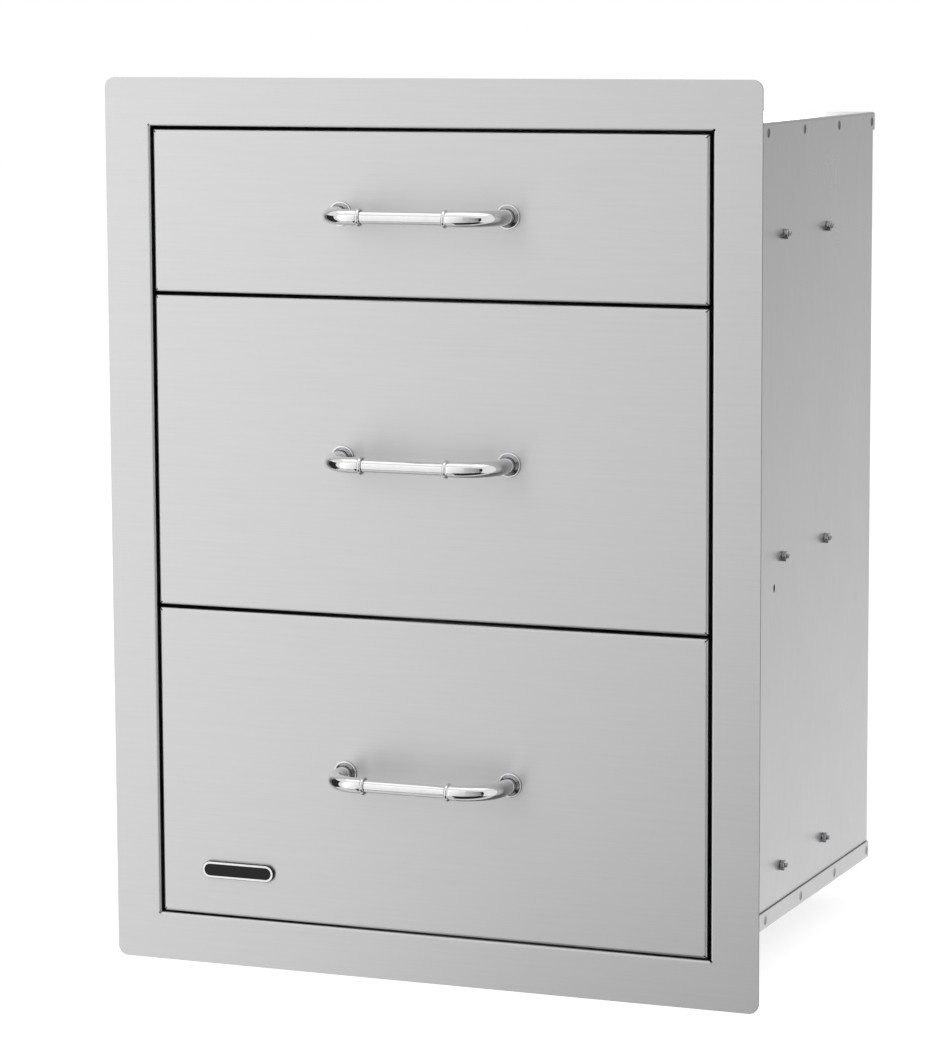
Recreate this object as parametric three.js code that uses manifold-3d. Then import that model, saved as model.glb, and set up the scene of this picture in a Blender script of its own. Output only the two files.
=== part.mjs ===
// Outdoor kitchen drawer unit: a face frame on a built-in steel carcass, with three drawers.
// Every drawer is a double-skinned front and an open tray, carried on two telescopic slides.
// Millimetres. +X is to the right, +Y runs back into the wall and +Z is up.
// The origin is on the wall's face, at the middle of the wall opening's lower edge.

import * as THREE from 'three';
import { mergeVertices } from 'three/addons/utils/BufferGeometryUtils.js';
import Module from 'manifold-3d';

const wasm = await Module();
wasm.setup();

// Face frame: one sheet, whose inner edges are bent back as four returns.
const frameWidth = 508;
const frameHeight = 660.4;
const frameSheet = 1.2;
const frameCornerRadius = 7.5;
const sideFlange = 36.2;
const endFlange = 35.6;
const frameBendRadius = 2.5;
const frameReturnDepth = 18;
const frameSlitLength = 5.2;
const slitWidth = 1.4;

// Carcass: two flanged caps, two flat sides and a flanged back.
const wallClearance = 3;
const carcassDepth = 383;
const panelSheet = 1;
const lapGap = 0.3;
const panelSetback = 3;
const capFlange = 14;
const panelBendRadius = 2;
const backFlange = 10;

// Spot welds: shallow round dimples in the caps' side flanges.
const weldRadius = 4;
const weldFloorRadius = 2.8;
const weldDepth = 0.45;
const weldInset = 7.5;
const weldPitch = 87.3;
const topWeldStart = 31.2;
const bottomWeldStart = 36.2;

// Drawer fronts: an outer pan and an inner pan that closes it.
const frontGap = 2.2;
const sideGap = 2.4;
const lowerGap = 1.6;
const topFrontHeight = 119.2;
const frontSheet = 1;
const frontDepth = 16;
const frontBendRadius = 1.6;
const frontSlitLength = 3;
const linerWall = 11;

// Trays: folded steel boxes, open at the top, with open hems along their upper edges.
const traySheet = 1;
const trayRise = 8;
const trayTopDrop = 22;
const deepTrayTopDrop = 36;
const trayRearGap = 17;
const trayBendRadius = 3;
const hemDepth = 8;
const hemWidth = 3.2;
const hemBendRadius = 1.5;
const hemNotch = 0.5;

// Telescopic slides: three nested rolled members, each with hooked edges for the ball races.
const slideSetback = 20;
const slideRearGap = 13;
const slideThickness = 12.7;
const slideHeight = 45;
const slideSheet = 1.2;
const slideBendRadius = 2.4;
const runningGap = 0.4;
const runnerHeight = 34.4;
const innerMemberHeight = 24;
const boltHeadroom = 3;
const shortMemberCut = 10;
const topSlideRise = 41.4;
const deepSlideRise = 36.4;

// Slide bolts: pan heads inside the members, hexagon nuts outside the sides.
const boltRadius = 2;
const boltHeadRadius = 4;
const boltCrownRadius = 2.9;
const boltHeadHeight = 2.2;
const boltHoleClearance = 0.3;
const boltFromSlideFront = 136;
const boltPitch = 106;
const nutAcrossFlats = 7;
const nutHeight = 3.2;
const boltEnd = 2;
const boltEndChamfer = 0.5;
const tabHoleRadius = 3.2;
const tabHoleDrop = 21.3;
const tabHoleAhead = 20.5;

// Handles: a round bar between two bent posts, each on its rosette.
const handleCentres = 130;
const handleStandOff = 40;
const postRadius = 5.75;
const postBendRadius = 26;
const postArm = 33.4;
const barRadius = 4.7;
const barEntry = 7;
const socketDepth = 8.5;
const collarRadius = 6.65;
const collarLength = 4.4;
const collarChamfer = 0.8;
const rosetteRadius = 9;
const rosetteHeight = 2.6;
const rosetteRim = 1.2;
const rosetteDish = 0.6;
const studRadius = 2.5;
const studNutRadius = 4;
const studNutHeight = 3;
const studTip = 1.2;

// Facets: each square bend has twice bendSteps facets, and a hem's has twice hemSteps.
const bendSteps = 2;
const hemSteps = 1;
const roundSides = 12;
const smallSides = 8;
const hexSides = 6;
const ringSides = 32;
const rosetteSides = 16;
const overrun = 5;
const mergeDistance = 1e-4;

// Places worked out from the sizes above.
const openingHalfWidth = frameWidth / 2 - sideFlange;
const openingHeight = frameHeight - 2 * endFlange;
const openingBottom = wallClearance + panelSheet + lapGap + frameSheet;
const openingTop = openingBottom + openingHeight;
const frameMiddle = openingBottom + openingHeight / 2;
const faceY = -frameSheet;
const carcassBottom = wallClearance;
const carcassTop = openingTop + frameSheet + lapGap + panelSheet;
const sideInner = openingHalfWidth + frameSheet + lapGap;
const sideOuter = sideInner + panelSheet;
const sideBottom = carcassBottom + panelSheet + lapGap;
const sideTop = carcassTop - panelSheet - lapGap;
const capHalfWidth = sideOuter + lapGap + panelSheet;
const backOuter = carcassDepth - panelSheet - lapGap;
const frontHalfWidth = openingHalfWidth - sideGap;
const frontBack = faceY + frontDepth;
const drawerNames = ['top', 'middle', 'bottom'];
const frontsHeight = openingHeight - drawerNames.length * frontGap - lowerGap;
const deepFrontHeight = (frontsHeight - topFrontHeight) / (drawerNames.length - 1);
const slideMountX = sideInner - lapGap;
const trayHalfWidth = slideMountX - slideThickness - lapGap;
const trayFront = frontBack + lapGap;
const trayRear = carcassDepth - trayRearGap;
const boltHoleRadius = boltRadius + boltHoleClearance;
const barY = faceY - handleStandOff;
const weldMouth = 2 * weldRadius - weldFloorRadius;

// The drawers from the top down, each with its front's lower edge.
const drawers = drawerNames.map((name, i) => {
  if (i === 0) return { name, height: topFrontHeight, slideRise: topSlideRise, trayDrop: trayTopDrop };
  return { name, height: deepFrontHeight, slideRise: deepSlideRise, trayDrop: deepTrayTopDrop };
});
let upperEdge = openingTop - frontGap;
for (const drawer of drawers) {
  drawer.base = upperEdge - drawer.height;
  upperEdge = drawer.base - frontGap;
}

// The finishes, each as a colour, a roughness and a metalness.
const finishes = {
  brushedSteel: { color: 0xc4c4c4, roughness: 0.38, metalness: 1 },
  millSteel: { color: 0xb4b5b5, roughness: 0.5, metalness: 1 },
  zincSteel: { color: 0xa9adb0, roughness: 0.42, metalness: 1 },
  chrome: { color: 0xe6e7e8, roughness: 0.08, metalness: 1 },
  darkSteel: { color: 0x6f7173, roughness: 0.45, metalness: 1 },
};

// A closed geometry as a solid that can be joined and cut.
function solidOf(geometry) {
  geometry.deleteAttribute('normal');
  geometry.deleteAttribute('uv');
  const merged = mergeVertices(geometry, mergeDistance);
  const vertProperties = new Float32Array(merged.attributes.position.array);
  const triVerts = new Uint32Array(merged.index.array);
  return new wasm.Manifold(new wasm.Mesh({ numProp: 3, vertProperties, triVerts }));
}

function geometryOf(solid) {
  const { vertProperties, triVerts } = solid.getMesh();
  const geometry = new THREE.BufferGeometry();
  geometry.setAttribute('position', new THREE.BufferAttribute(new Float32Array(vertProperties), 3));
  geometry.setIndex(new THREE.BufferAttribute(new Uint32Array(triVerts), 1));
  geometry.computeVertexNormals();
  return geometry;
}

function block(x0, x1, y0, y1, z0, z1) {
  const geometry = new THREE.BoxGeometry(x1 - x0, y1 - y0, z1 - z0);
  geometry.translate((x0 + x1) / 2, (y0 + y1) / 2, (z0 + z1) / 2);
  return solidOf(geometry);
}

// An outline drawn in x and y, raised along +Z.
function raised(shape, from, to, steps = bendSteps) {
  const options = { depth: to - from, bevelEnabled: false, curveSegments: steps };
  return new THREE.ExtrudeGeometry(shape, options).translate(0, 0, from);
}

// An outline drawn in x and z, run along Y.
function runAlongY(shape, from, to, steps = bendSteps) {
  return raised(shape, -to, -from, steps).rotateX(Math.PI / 2);
}

// An outline drawn in y and z, run along X.
function runAlongX(shape, from, to, steps = bendSteps) {
  return raised(shape, from, to, steps).rotateX(Math.PI / 2).rotateZ(Math.PI / 2);
}

function rodAlongX(radius, from, to, y, z, sides) {
  const geometry = new THREE.CylinderGeometry(radius, radius, to - from, sides);
  return solidOf(geometry.rotateZ(-Math.PI / 2).translate((from + to) / 2, y, z));
}

function rodAlongY(radius, from, to, x, z, sides) {
  const geometry = new THREE.CylinderGeometry(radius, radius, to - from, sides);
  return solidOf(geometry.translate(x, (from + to) / 2, z));
}

// One bend of a folded sheet: where it lies on the sheet's middle line, and which way it turns.
function bendBetween(before, corner, after, radius) {
  const arriving = corner.clone().sub(before).normalize();
  const leaving = after.clone().sub(corner).normalize();
  const side = Math.sign(arriving.cross(leaving));
  const turn = Math.acos(arriving.dot(leaving));
  const start = corner.clone().addScaledVector(arriving, -radius * Math.tan(turn / 2));
  const inward = new THREE.Vector2(-arriving.y, arriving.x).multiplyScalar(side * radius);
  const centre = start.clone().add(inward);
  const from = Math.atan2(start.y - centre.y, start.x - centre.x);
  return { centre, radius, side, from, to: from + side * turn };
}

// One end of a folded sheet's edge, on the left of the line for hand 1 and on its right for hand -1.
function edgeEnd(from, to, end, thickness, hand) {
  const along = to.clone().sub(from).normalize();
  const across = new THREE.Vector2(-along.y, along.x);
  return end.clone().addScaledVector(across, (hand * thickness) / 2);
}

// The closed outline of a sheet folded along a middle line. A corner may name its own outside radius.
function foldedSheet(corners, thickness, outsideRadius) {
  const points = corners.map(([x, y]) => new THREE.Vector2(x, y));
  const last = points.length - 1;
  const bends = [];
  for (let i = 1; i < last; i += 1) {
    const radius = (corners[i][2] ?? outsideRadius) - thickness / 2;
    bends.push(bendBetween(points[i - 1], points[i], points[i + 1], radius));
  }
  const shape = new THREE.Shape();
  const follow = ({ centre, radius, side }, hand, from, to) => {
    const reach = radius - (hand * side * thickness) / 2;
    shape.lineTo(centre.x + reach * Math.cos(from), centre.y + reach * Math.sin(from));
    shape.absarc(centre.x, centre.y, reach, from, to, to < from);
  };
  const firstLeft = edgeEnd(points[0], points[1], points[0], thickness, 1);
  const lastLeft = edgeEnd(points[last - 1], points[last], points[last], thickness, 1);
  const lastRight = edgeEnd(points[last - 1], points[last], points[last], thickness, -1);
  const firstRight = edgeEnd(points[0], points[1], points[0], thickness, -1);
  shape.moveTo(firstLeft.x, firstLeft.y);
  bends.forEach((bend) => follow(bend, 1, bend.from, bend.to));
  shape.lineTo(lastLeft.x, lastLeft.y);
  shape.lineTo(lastRight.x, lastRight.y);
  bends.reverse().forEach((bend) => follow(bend, -1, bend.to, bend.from));
  shape.lineTo(firstRight.x, firstRight.y);
  return shape;
}

// A rectangle whose front corners are rounded outwards, or flared when the radius runs the other way.
function frontOutline(half, front, back, radius) {
  const shape = new THREE.Shape();
  shape.moveTo(half, back);
  shape.lineTo(half, front + radius);
  shape.absarc(half - radius, front + radius, radius, 0, -Math.PI / 2, true);
  shape.lineTo(radius - half, front);
  shape.absarc(radius - half, front + radius, radius, -Math.PI / 2, -Math.PI, true);
  shape.lineTo(-half, back);
  return shape;
}

function flaredOutline(half, front, back, radius, lead) {
  const shape = new THREE.Shape();
  shape.moveTo(half, back);
  shape.lineTo(half, front + radius);
  shape.absarc(half + radius, front + radius, radius, Math.PI, Math.PI * 1.5, false);
  shape.lineTo(half + radius, front - lead);
  shape.lineTo(-half - radius, front - lead);
  shape.lineTo(-half - radius, front);
  shape.absarc(-half - radius, front + radius, radius, -Math.PI / 2, 0, false);
  shape.lineTo(-half, back);
  return shape;
}

// The common body of one outline seen from above and one seen from the side, centred on the X and Z axes.
function crossed(plan, side, halfWidth, halfHeight) {
  const seenFromAbove = solidOf(raised(plan, -halfHeight, halfHeight));
  const seenFromTheSide = solidOf(raised(side, -halfWidth, halfWidth).rotateY(Math.PI / 2));
  return seenFromAbove.intersect(seenFromTheSide);
}

function roundedBlock(halfWidth, halfHeight, front, back, radius) {
  const plan = frontOutline(halfWidth, front, back, radius);
  const side = frontOutline(halfHeight, front, back, radius);
  return crossed(plan, side, halfWidth + overrun, halfHeight + overrun);
}

function flaredBlock(halfWidth, halfHeight, front, back, radius, lead) {
  const plan = flaredOutline(halfWidth, front, back, radius, lead);
  const side = flaredOutline(halfHeight, front, back, radius, lead);
  return crossed(plan, side, halfWidth + radius + overrun, halfHeight + radius + overrun);
}

// Four thin cuts along the diagonals at the corners of a rectangle.
function cornerSlits(halfWidth, halfHeight, inwards, outwards, depth) {
  const cuts = [];
  for (const right of [-1, 1]) {
    for (const up of [-1, 1]) {
      const slit = new THREE.BoxGeometry(inwards + outwards, 2 * depth, slitWidth);
      slit.translate((outwards - inwards) / 2, 0, 0);
      slit.rotateY(-Math.atan2(up, right));
      cuts.push(solidOf(slit.translate(right * halfWidth, 0, up * halfHeight)));
    }
  }
  return cuts;
}

function cutAll(solid, cutters) {
  return cutters.reduce((rest, cutter) => rest.subtract(cutter), solid);
}

// A pan of folded sheet: its face at the front, its four walls running back, rounded where they bend.
function pan(halfWidth, halfHeight, depth, sheet, bendRadius) {
  const outside = roundedBlock(halfWidth, halfHeight, 0, depth, bendRadius);
  const insideRadius = bendRadius - sheet;
  const inside = roundedBlock(halfWidth - sheet, halfHeight - sheet, sheet, depth + overrun, insideRadius);
  return outside.subtract(inside);
}

function faceFrame() {
  const halfWidth = frameWidth / 2;
  const halfHeight = frameHeight / 2;
  const shape = new THREE.Shape();
  const corners = [[1, -1], [1, 1], [-1, 1], [-1, -1]];
  corners.forEach(([right, up], i) => {
    const x = right * (halfWidth - frameCornerRadius);
    const z = up * (halfHeight - frameCornerRadius);
    const from = ((i - 1) * Math.PI) / 2;
    const startX = x + frameCornerRadius * Math.cos(from);
    const startZ = z + frameCornerRadius * Math.sin(from);
    if (i === 0) shape.moveTo(startX, startZ);
    else shape.lineTo(startX, startZ);
    shape.absarc(x, z, frameCornerRadius, from, from + Math.PI / 2, false);
  });
  const plate = solidOf(runAlongY(shape, faceY, 0));
  const halfOpening = openingHeight / 2;
  const insideRadius = frameBendRadius - frameSheet;
  const returnHalfWidth = openingHalfWidth + frameSheet;
  const returnHalfHeight = halfOpening + frameSheet;
  const returnBack = faceY + frameReturnDepth;
  const lead = frameSheet / 2;
  const returns = flaredBlock(returnHalfWidth, returnHalfHeight, 0, returnBack, insideRadius, lead);
  const throatBack = returnBack + overrun;
  const throat = flaredBlock(openingHalfWidth, halfOpening, faceY, throatBack, frameBendRadius, overrun);
  const slits = cornerSlits(openingHalfWidth, halfOpening, overrun, frameSlitLength, throatBack);
  return cutAll(plate.add(returns).subtract(throat), slits);
}

// The top cap, with its face up at z = 0; the bottom cap is the same folding turned over.
function capPanel(weldStart) {
  const halfRun = (carcassDepth - panelSetback) / 2 + overrun;
  const middle = carcassDepth - halfRun;
  const folded = pan(capHalfWidth, halfRun, capFlange, panelSheet, panelBendRadius);
  const turned = solidOf(geometryOf(folded).rotateX(-Math.PI / 2).translate(0, middle, 0));
  const reach = capHalfWidth + overrun;
  const openFront = block(-reach, reach, -carcassDepth, panelSetback, -capFlange - overrun, overrun);
  const dimples = [];
  for (let y = weldStart; y < carcassDepth - weldRadius; y += weldPitch) {
    for (const side of [-1, 1]) {
      const dimple = new THREE.CylinderGeometry(weldMouth, weldFloorRadius, 2 * weldDepth, smallSides);
      dimple.rotateZ((-side * Math.PI) / 2);
      dimples.push(solidOf(dimple.translate(side * capHalfWidth, y, -weldInset)));
    }
  }
  return cutAll(turned.subtract(openFront), dimples);
}

const boltRows = ['front', 'rear'];

function boltPlaces() {
  return boltRows.map((row, i) => slideSetback + boltFromSlideFront + i * boltPitch);
}

// One side, drawn on the right for side 1 and on the left for side -1.
function sidePanel(side) {
  const drill = (radius, y, z) => {
    const from = side > 0 ? sideInner - overrun : -sideOuter - overrun;
    return rodAlongX(radius, from, from + panelSheet + 2 * overrun, y, z, smallSides);
  };
  const inner = side > 0 ? sideInner : -sideOuter;
  const sheet = block(inner, inner + panelSheet, panelSetback, backOuter, sideBottom, sideTop);
  const holes = drawers.flatMap(({ base, slideRise }) => {
    return boltPlaces().map((y) => drill(boltHoleRadius, y, base + slideRise));
  });
  const [, { base, slideRise }] = drawers;
  const tabY = slideSetback + boltFromSlideFront - tabHoleAhead;
  holes.push(drill(tabHoleRadius, tabY, base + slideRise - tabHoleDrop));
  return cutAll(sheet, holes);
}

function backPanel() {
  const x = sideInner - lapGap - panelSheet / 2;
  const y = backOuter - panelSheet / 2;
  const line = [[-x, backOuter - backFlange], [-x, y], [x, y], [x, backOuter - backFlange]];
  return solidOf(raised(foldedSheet(line, panelSheet, panelBendRadius), sideBottom, sideTop));
}

// Each slide's members are drawn on the right-hand side, with z = 0 along the slide's middle.
// A distance "in" is measured from the carcass side's mounting face towards the drawer.
function hookedMember(webIn, hookIn, halfHeight, hookEnd, from, to) {
  const webX = slideMountX - webIn;
  const hookX = slideMountX - hookIn;
  const armZ = halfHeight - slideSheet / 2;
  const upper = [[hookX, hookEnd], [hookX, armZ], [webX, armZ]];
  const lower = upper.map(([x, z]) => [x, -z]).reverse();
  return solidOf(runAlongY(foldedSheet([...upper, ...lower], slideSheet, slideBendRadius), from, to));
}

const cabinetWebIn = slideSheet / 2;
const runnerWebIn = slideSheet + boltHeadroom + slideSheet / 2;
const innerWebIn = slideThickness - slideSheet / 2;
const runnerHookIn = innerWebIn - slideSheet - runningGap;
const innerHookIn = runnerWebIn + slideSheet + runningGap;
const cabinetHookIn = runnerHookIn - slideSheet;
const memberRear = carcassDepth - slideRearGap;

function cabinetMember() {
  const hookEnd = runnerHeight / 2 + runningGap;
  const half = slideHeight / 2;
  const member = hookedMember(cabinetWebIn, cabinetHookIn, half, hookEnd, slideSetback, memberRear);
  const holes = boltPlaces().map((y) => {
    return rodAlongX(boltHoleRadius, slideMountX - overrun, slideMountX + overrun, y, 0, smallSides);
  });
  return cutAll(member, holes);
}

function runnerMember() {
  const hookEnd = innerMemberHeight / 2 + runningGap;
  const rear = memberRear - shortMemberCut;
  return hookedMember(runnerWebIn, runnerHookIn, runnerHeight / 2, hookEnd, slideSetback, rear);
}

function drawerMember() {
  const hookEnd = runnerHeight / 2 - slideSheet - runningGap;
  const rear = memberRear - shortMemberCut;
  return hookedMember(innerWebIn, innerHookIn, innerMemberHeight / 2, hookEnd, slideSetback, rear);
}

// A bolt drawn along +X from its head inside the slide to its nut and end outside the carcass.
function slideBolt() {
  const headSeat = slideMountX - slideSheet - lapGap;
  const nutSeat = sideOuter + lapGap;
  const end = nutSeat + nutHeight + boltEnd;
  const profile = [
    [0, headSeat - boltHeadHeight],
    [boltCrownRadius, headSeat - boltHeadHeight],
    [boltHeadRadius, headSeat - boltHeadHeight / 2],
    [boltHeadRadius, headSeat],
    [boltRadius, headSeat],
    [boltRadius, end - boltEndChamfer],
    [boltRadius - boltEndChamfer, end],
    [0, end],
  ];
  const points = profile.map(([radius, along]) => new THREE.Vector2(radius, along));
  const body = solidOf(new THREE.LatheGeometry(points, smallSides).rotateZ(-Math.PI / 2));
  const corner = nutAcrossFlats / 2 / Math.cos(Math.PI / hexSides);
  return body.add(rodAlongX(corner, nutSeat, nutSeat + nutHeight, 0, 0, hexSides));
}

function frontSkin(height) {
  const halfHeight = height / 2;
  const skin = pan(frontHalfWidth, halfHeight, frontDepth, frontSheet, frontBendRadius);
  const slits = cornerSlits(frontHalfWidth, halfHeight, frontSlitLength, overrun, frontDepth + overrun);
  const holes = [-1, 1].map((side) => {
    const x = (side * handleCentres) / 2;
    return rodAlongY(studRadius + boltHoleClearance, -overrun, frontSheet + overrun, x, 0, smallSides);
  });
  return cutAll(skin, [...slits, ...holes]);
}

function frontLiner(height) {
  const halfWidth = frontHalfWidth - frontSheet - lapGap;
  const halfHeight = height / 2 - frontSheet - lapGap;
  return pan(halfWidth, halfHeight, linerWall, frontSheet, frontBendRadius);
}

// A tray drawn with z = 0 under its floor. Its floor bends are wider than its hems.
// The end walls are notched at their upper corners, clear of the side walls' hems.
function tray(height) {
  const middle = traySheet / 2;
  const wallX = trayHalfWidth - middle;
  const hemStep = hemWidth - traySheet;
  const hemEnd = height - hemDepth;
  const top = height - middle;
  const sideHem = [[wallX, top], [wallX - hemStep, top], [wallX - hemStep, hemEnd]];
  const right = [[wallX, middle, trayBendRadius], ...sideHem];
  const left = right.map(([x, ...rest]) => [-x, ...rest]).reverse();
  const section = foldedSheet([...left, ...right], traySheet, hemBendRadius);
  const trough = solidOf(runAlongY(section, trayFront, trayRear, hemSteps));
  const wallLine = [[middle, middle], [middle, top], [middle + hemStep, top], [middle + hemStep, hemEnd]];
  const short = trayHalfWidth - hemWidth - hemNotch;
  const folded = () => runAlongX(foldedSheet(wallLine, traySheet, hemBendRadius), -short, short, hemSteps);
  const plate = (y) => block(-wallX, wallX, y, y + traySheet, trayBendRadius, hemEnd - hemNotch);
  const front = solidOf(folded().translate(0, trayFront, 0)).add(plate(trayFront));
  const rear = solidOf(folded().rotateZ(Math.PI).translate(0, trayRear, 0)).add(plate(trayRear - traySheet));
  return trough.add(front).add(rear);
}

// A handle's right-hand post: its foot at the origin, its arm to the left, with a collar and a bar socket.
// A stud goes on from the foot through the front, to a nut behind it.
function handlePost() {
  const bendX = -postBendRadius;
  const bendY = postBendRadius - handleStandOff;
  const reach = postRadius + overrun;
  const ring = new THREE.TorusGeometry(postBendRadius, postRadius, roundSides, ringSides);
  const corner = block(bendX, reach, -handleStandOff - reach, bendY, -reach, reach);
  const bend = solidOf(ring.translate(bendX, bendY, 0)).intersect(corner);
  const leg = rodAlongY(postRadius, bendY, -lapGap, 0, 0, roundSides);
  const arm = rodAlongX(postRadius, -postArm, bendX, -handleStandOff, 0, roundSides);
  const studEnd = frontSheet + lapGap + studNutHeight;
  const stud = rodAlongY(studRadius, -overrun, studEnd + studTip, 0, 0, smallSides);
  const nut = rodAlongY(studNutRadius, studEnd - studNutHeight, studEnd, 0, 0, hexSides);
  const profile = [
    [barRadius, 0],
    [collarRadius - collarChamfer, 0],
    [collarRadius, collarChamfer],
    [collarRadius, collarLength - collarChamfer],
    [collarRadius - collarChamfer, collarLength],
    [barRadius, collarLength],
    [barRadius, 0],
  ];
  const points = profile.map(([radius, along]) => new THREE.Vector2(radius, along));
  const collar = new THREE.LatheGeometry(points, roundSides).rotateZ(-Math.PI / 2);
  const socketEnd = socketDepth - postArm;
  const socketStart = -postArm - overrun;
  const socket = rodAlongX(barRadius + lapGap, socketStart, socketEnd, -handleStandOff, 0, roundSides);
  const joined = [leg, arm, stud, nut, solidOf(collar.translate(-postArm, -handleStandOff, 0))];
  return joined.reduce((post, piece) => post.add(piece), bend).subtract(socket);
}

function handleBar() {
  const reach = handleCentres / 2 - postArm + barEntry;
  return rodAlongX(barRadius, -reach, reach, 0, 0, roundSides);
}

// A rosette round a post's foot: a dished ring with a raised rim, its back at y = 0.
function rosette() {
  const bore = postRadius + lapGap;
  const front = -rosetteHeight;
  const profile = [
    [bore, front + rosetteDish],
    [rosetteRadius - rosetteRim - rosetteDish, front + rosetteDish],
    [rosetteRadius - rosetteRim, front],
    [rosetteRadius - rosetteDish, front],
    [rosetteRadius, front + rosetteDish],
    [rosetteRadius, 0],
    [bore, 0],
    [bore, front + rosetteDish],
  ];
  const points = profile.map(([radius, along]) => new THREE.Vector2(radius, along));
  return solidOf(new THREE.LatheGeometry(points, rosetteSides));
}

// A named piece of one finish, at its place, and turned half round a named axis where its twin is.
function piece(name, geometry, finish, place = {}) {
  const mesh = new THREE.Mesh(geometry, new THREE.MeshStandardMaterial(finishes[finish]));
  mesh.name = name;
  mesh.position.set(place.x ?? 0, place.y ?? 0, place.z ?? 0);
  if (place.turned) mesh.rotation[place.turned] = Math.PI;
  return mesh;
}

// The right-hand piece and its left-hand twin, turned round the unit's upright plane.
function pair(name, geometry, finish, place = {}) {
  const left = { ...place, x: -(place.x ?? 0), turned: 'y' };
  return [piece(`${name}_right`, geometry, finish, place), piece(`${name}_left`, geometry, finish, left)];
}

const unit = new THREE.Group();

const carcass = new THREE.Group();
carcass.add(piece('face_frame', geometryOf(faceFrame()), 'brushedSteel', { z: frameMiddle }));
carcass.add(piece('top_panel', geometryOf(capPanel(topWeldStart)), 'millSteel', { z: carcassTop }));
const bottomPlace = { z: carcassBottom, turned: 'y' };
carcass.add(piece('bottom_panel', geometryOf(capPanel(bottomWeldStart)), 'millSteel', bottomPlace));
carcass.add(piece('right_side_panel', geometryOf(sidePanel(1)), 'millSteel'));
carcass.add(piece('left_side_panel', geometryOf(sidePanel(-1)), 'millSteel'));
carcass.add(piece('back_panel', geometryOf(backPanel()), 'millSteel'));
unit.add(carcass);

const cabinetShape = geometryOf(cabinetMember());
const runnerShape = geometryOf(runnerMember());
const drawerShape = geometryOf(drawerMember());
const boltShape = geometryOf(slideBolt());
const postShape = geometryOf(handlePost());
const barShape = geometryOf(handleBar());
const rosetteShape = geometryOf(rosette());

for (const { name, height, slideRise, trayDrop, base } of drawers) {
  const slideZ = base + slideRise;
  carcass.add(...pair(`${name}_cabinet_member`, cabinetShape, 'zincSteel', { z: slideZ }));
  boltPlaces().forEach((y, i) => {
    carcass.add(...pair(`${name}_slide_bolt_${boltRows[i]}`, boltShape, 'darkSteel', { y, z: slideZ }));
  });

  const runners = new THREE.Group();
  runners.add(...pair(`${name}_runner`, runnerShape, 'zincSteel'));
  runners.position.z = slideZ;
  unit.add(runners);

  const drawer = new THREE.Group();
  const middle = height / 2;
  const skinPlace = { y: faceY, z: middle };
  drawer.add(piece(`${name}_front_skin`, geometryOf(frontSkin(height)), 'brushedSteel', skinPlace));
  const linerPlace = { y: frontBack, z: middle, turned: 'z' };
  drawer.add(piece(`${name}_front_liner`, geometryOf(frontLiner(height)), 'millSteel', linerPlace));
  const trayShape = geometryOf(tray(height - trayRise - trayDrop));
  drawer.add(piece(`${name}_tray`, trayShape, 'millSteel', { z: trayRise }));
  drawer.add(...pair(`${name}_drawer_member`, drawerShape, 'zincSteel', { z: slideRise }));
  const postPlace = { x: handleCentres / 2, y: faceY, z: middle };
  drawer.add(...pair(`${name}_handle_post`, postShape, 'chrome', postPlace));
  drawer.add(...pair(`${name}_rosette`, rosetteShape, 'chrome', { ...postPlace, y: faceY - lapGap }));
  drawer.add(piece(`${name}_handle_bar`, barShape, 'chrome', { y: barY, z: middle }));
  drawer.position.z = base;
  unit.add(drawer);
}

export default unit;
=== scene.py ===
# %% [markdown]
# # An outdoor kitchen drawer unit
# The real unit is folded stainless sheet: a face frame with a flange that covers the edge of an opening in
# an island's wall, a thin carcass behind it, and three drawers on telescopic slides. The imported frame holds
# every piece at its real size and every joint. This script gives each piece the surface that a maker would
# see: smooth bends, mitred corners, turned handles, brushed grain. It starts by loading that frame.

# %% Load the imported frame
from math import atan2, cos, pi, radians, sin, sqrt

import bmesh
import bpy
from mathutils import Matrix, Vector


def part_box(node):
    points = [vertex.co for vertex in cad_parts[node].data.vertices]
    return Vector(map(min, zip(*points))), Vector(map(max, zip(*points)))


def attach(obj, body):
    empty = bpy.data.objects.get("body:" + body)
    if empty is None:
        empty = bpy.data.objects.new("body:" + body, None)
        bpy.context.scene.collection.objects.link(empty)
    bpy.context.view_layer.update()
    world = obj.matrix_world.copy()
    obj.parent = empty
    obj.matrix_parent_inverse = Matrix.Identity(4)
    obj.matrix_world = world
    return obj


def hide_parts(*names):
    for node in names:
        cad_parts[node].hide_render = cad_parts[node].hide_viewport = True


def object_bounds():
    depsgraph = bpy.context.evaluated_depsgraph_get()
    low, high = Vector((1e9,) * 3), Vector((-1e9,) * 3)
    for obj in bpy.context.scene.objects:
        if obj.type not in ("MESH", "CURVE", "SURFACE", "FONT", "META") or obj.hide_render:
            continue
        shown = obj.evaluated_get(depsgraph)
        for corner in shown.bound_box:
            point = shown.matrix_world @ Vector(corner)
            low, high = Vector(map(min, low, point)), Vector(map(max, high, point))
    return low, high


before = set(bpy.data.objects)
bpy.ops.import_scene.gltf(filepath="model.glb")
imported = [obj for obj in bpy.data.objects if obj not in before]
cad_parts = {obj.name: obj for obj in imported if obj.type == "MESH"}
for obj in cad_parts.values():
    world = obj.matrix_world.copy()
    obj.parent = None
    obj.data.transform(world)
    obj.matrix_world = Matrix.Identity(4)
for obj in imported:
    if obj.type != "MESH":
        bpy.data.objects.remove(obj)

MM = 0.001
CAD_LOW, CAD_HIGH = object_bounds()
print("CAD size in mm:", [round(side / MM, 1) for side in CAD_HIGH - CAD_LOW])

# %% [markdown]
# ## Camera
# A long lens stands 2.9 m away, to the right of the unit and a little above its middle, so upright edges
# stay nearly upright. The place and the three turns were fitted to the corners of the frame and of the
# drawers. Building the turn as one matrix keeps the roll about the lens's own axis.

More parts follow.
